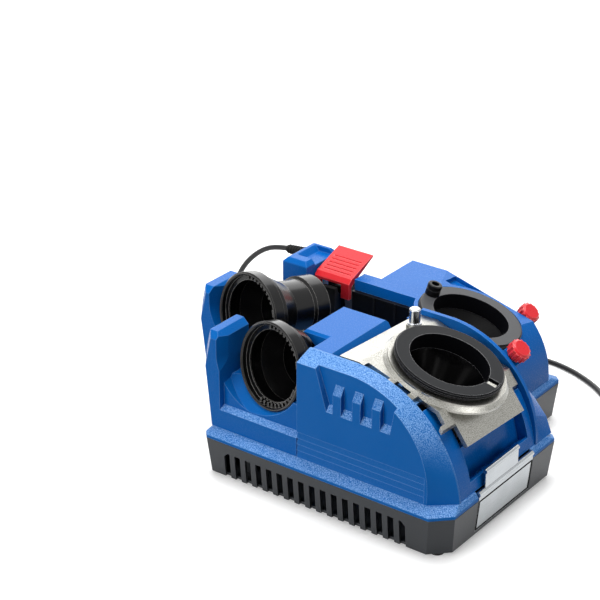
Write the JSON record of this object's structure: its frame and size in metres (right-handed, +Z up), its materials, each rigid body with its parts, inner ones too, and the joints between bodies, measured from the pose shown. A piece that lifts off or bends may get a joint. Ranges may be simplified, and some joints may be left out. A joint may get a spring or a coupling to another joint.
{
  "type": "drill bit sharpener",
  "caption": "Bench drill bit sharpener with two tilted grinding ports, two hand chucks in cradles, adjusting knobs, a latch, a dust drawer and a mains cord on one stepped base.",
  "frame": {"origin": "bottom centre of the machine without its cord, on the surface its feet stand on", "axes": "+X along the machine towards the grinding ports, +Y from the near station to the far one, +Z up"},
  "size_m": [0.6449, 0.4662, 0.2003],
  "materials": {
    "blue_plastic": "satin moulded, fine grain",
    "base_plastic": "satin moulded",
    "black_plastic": "satin moulded",
    "ring_plastic": "satin turned",
    "cup_plastic": "polished",
    "red_plastic": "satin moulded",
    "cast_aluminium": "die cast, shot blasted",
    "bright_steel": "polished",
    "sheet_steel": "bright pressed sheet",
    "motor_paint": "satin",
    "motor_iron": "laminated",
    "brush_brass": "stamped",
    "abrasive": "bonded grit",
    "rubber": "matt",
    "cord_rubber": "satin sheath"
  },
  "bodies": {
    "machine": {"base_tray": "base_plastic", "base_feet": "rubber", "housing_screws": "bright_steel", "lower_housing": "blue_plastic", "switch_frame": "black_plastic", "cord_gland": "rubber", "near_side_cover": "blue_plastic", "near_top_block": "blue_plastic", "centre_wall": "blue_plastic", "near_end_cover": "blue_plastic", "end_buttress": "blue_plastic", "near_cradle": "blue_plastic", "near_port_plate": "cast_aluminium", "near_port_cup": "cup_plastic", "near_stop_pin": "bright_steel", "near_knob_stud": "bright_steel", "far_deck": "blue_plastic", "far_cradle": "blue_plastic", "far_block": "blue_plastic", "far_block_foot": "black_plastic", "far_inner_panel": "black_plastic", "far_port_cup": "cup_plastic", "latch_bracket": "black_plastic", "latch_pin": "bright_steel", "far_knob_stud": "bright_steel", "motor_can": "motor_paint", "motor_front_bell": "cast_aluminium", "motor_rear_bell": "cast_aluminium", "motor_bearings": "bright_steel", "motor_brushes": "brush_brass", "motor_saddle": "base_plastic", "mains_cord": "cord_rubber", "cord_coil": "cord_rubber", "cord_tie": "black_plastic", "mains_plug": "black_plastic"},
    "rotor": {"motor_shaft": "bright_steel", "motor_armature": "motor_iron", "motor_fan": "black_plastic", "near_grinding_wheel": "abrasive", "far_grinding_wheel": "abrasive", "wheel_nuts": "bright_steel"},
    "near_ring": {"near_port_ring": "ring_plastic", "near_ring_key": "bright_steel"},
    "far_ring": {"far_port_ring": "ring_plastic", "far_guide_post": "black_plastic"},
    "near_knob": {"near_knob": "red_plastic"},
    "far_knob": {"far_knob": "red_plastic"},
    "latch": {"latch_lever": "red_plastic"},
    "drawer": {"dust_drawer": "black_plastic", "drawer_front": "sheet_steel", "drawer_tab": "sheet_steel"},
    "rocker": {"switch_rocker": "black_plastic"},
    "near_chuck": {"near_chuck_sleeve": "black_plastic", "near_chuck_jaws": "bright_steel"},
    "near_chuck_grip": {"near_chuck_ring": "black_plastic"},
    "far_chuck": {"far_chuck_sleeve": "black_plastic", "far_chuck_jaws": "bright_steel"},
    "far_chuck_grip": {"far_chuck_ring": "black_plastic"}
  },
  "joints": [
    {"name": "motor_spin", "type": "hinge", "parent": "machine", "child": "rotor", "pos_m": [0.08725, 0.01154, 0.07], "axis": [0, 1, 0], "continuous": true},
    {"name": "near_ring_turn", "type": "hinge", "parent": "machine", "child": "near_ring", "pos_m": [0.12425, -0.06246, 0.157], "axis": [0.3002, 0.0593, 0.952], "range_deg": [-60, 60]},
    {"name": "far_ring_turn", "type": "hinge", "parent": "machine", "child": "far_ring", "pos_m": [0.05925, 0.08494, 0.1316], "axis": [0.2574, 0.1045, 0.9606], "range_deg": [-60, 60]},
    {"name": "near_knob_turn", "type": "hinge", "parent": "machine", "child": "near_knob", "pos_m": [0.15283, 0.03004, 0.14544], "axis": [0.6481, 0, 0.7615], "continuous": true},
    {"name": "far_knob_turn", "type": "hinge", "parent": "machine", "child": "far_knob", "pos_m": [0.08646, 0.16504, 0.11858], "axis": [0.6639, 0, 0.7478], "continuous": true},
    {"name": "latch_lift", "type": "hinge", "parent": "machine", "child": "latch", "pos_m": [-0.11075, 0.07054, 0.149], "axis": [1, 0, 0], "range_deg": [0, 40]},
    {"name": "drawer_slide", "type": "slide", "parent": "machine", "child": "drawer", "axis": [1, 0, 0], "range_m": [0, 0.08]},
    {"name": "rocker_press", "type": "hinge", "parent": "machine", "child": "rocker", "pos_m": [-0.02475, 0.15154, 0.1], "axis": [1, 0, 0], "range_deg": [-7, 7]},
    {"name": "near_chuck_lift_out", "type": "slide", "parent": "machine", "child": "near_chuck", "axis": [-0.2152, -0.9625, 0.165], "range_m": [0, 0.06]},
    {"name": "near_chuck_grip_turn", "type": "hinge", "parent": "near_chuck", "child": "near_chuck_grip", "pos_m": [-0.0486, -0.13686, 0.1399], "axis": [-0.2152, -0.9625, 0.165], "range_deg": [-90, 90]},
    {"name": "far_chuck_lift_out", "type": "slide", "parent": "machine", "child": "far_chuck", "axis": [0.036, 0.1611, 0.9863], "range_m": [0, 0.06]},
    {"name": "far_chuck_grip_turn", "type": "hinge", "parent": "far_chuck", "child": "far_chuck_grip", "pos_m": [-0.13325, -0.06776, 0.1499], "axis": [-0.2152, -0.9625, 0.165], "range_deg": [-90, 90]}
  ]
}
